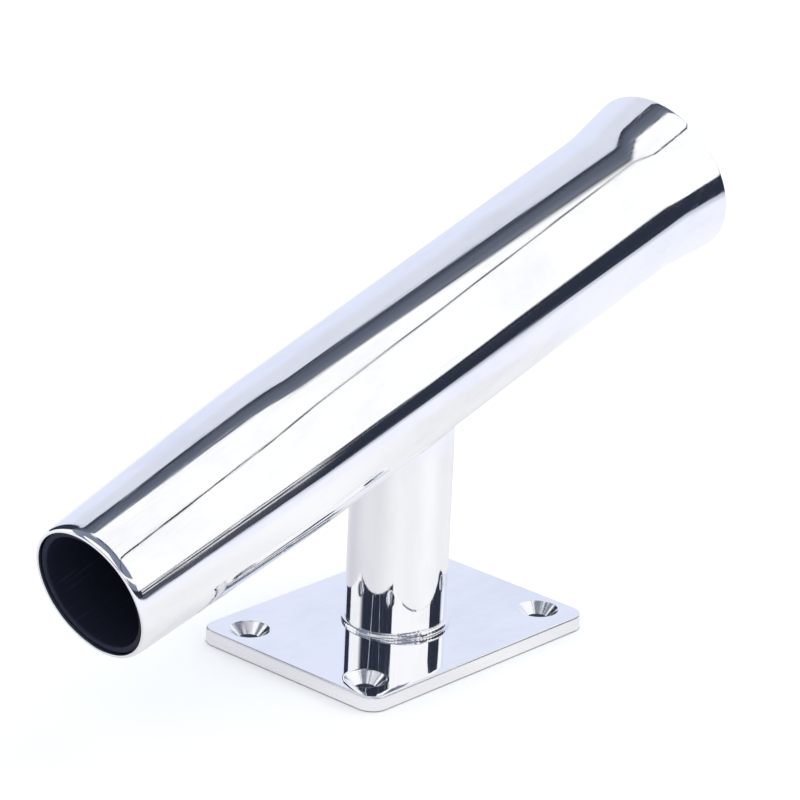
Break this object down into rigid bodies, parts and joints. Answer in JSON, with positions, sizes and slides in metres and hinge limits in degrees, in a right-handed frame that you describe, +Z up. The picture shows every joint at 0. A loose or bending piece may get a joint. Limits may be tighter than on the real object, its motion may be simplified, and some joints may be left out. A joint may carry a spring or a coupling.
{
  "type": "rod holder",
  "caption": "Slanted open tube with a flared mouth and a necked lower end, welded on a short post and a rectangular screw-down plate; it holds a fishing rod's butt.",
  "frame": {"origin": "centre of the plate's underside, on the post's centre line", "axes": "+Z up from the deck; +X along the plate's length, the way that the tube's mouth leans; +Y across the plate"},
  "size_m": [0.2658, 0.075, 0.1549],
  "materials": {
    "polished_steel": "mirror-polished stainless steel, with the plate's edge brushed",
    "weld_steel": "buffed stainless weld bead with faint ripples",
    "liner_plastic": "black satin plastic"
  },
  "bodies": {
    "root": {"base_plate": "polished_steel", "post": "polished_steel", "foot_weld": "weld_steel", "saddle_weld": "weld_steel", "holder_tube": "polished_steel", "tube_liner": "liner_plastic", "stop_pin": "polished_steel", "pin_plug_welds": "weld_steel"}
  },
  "joints": []
}
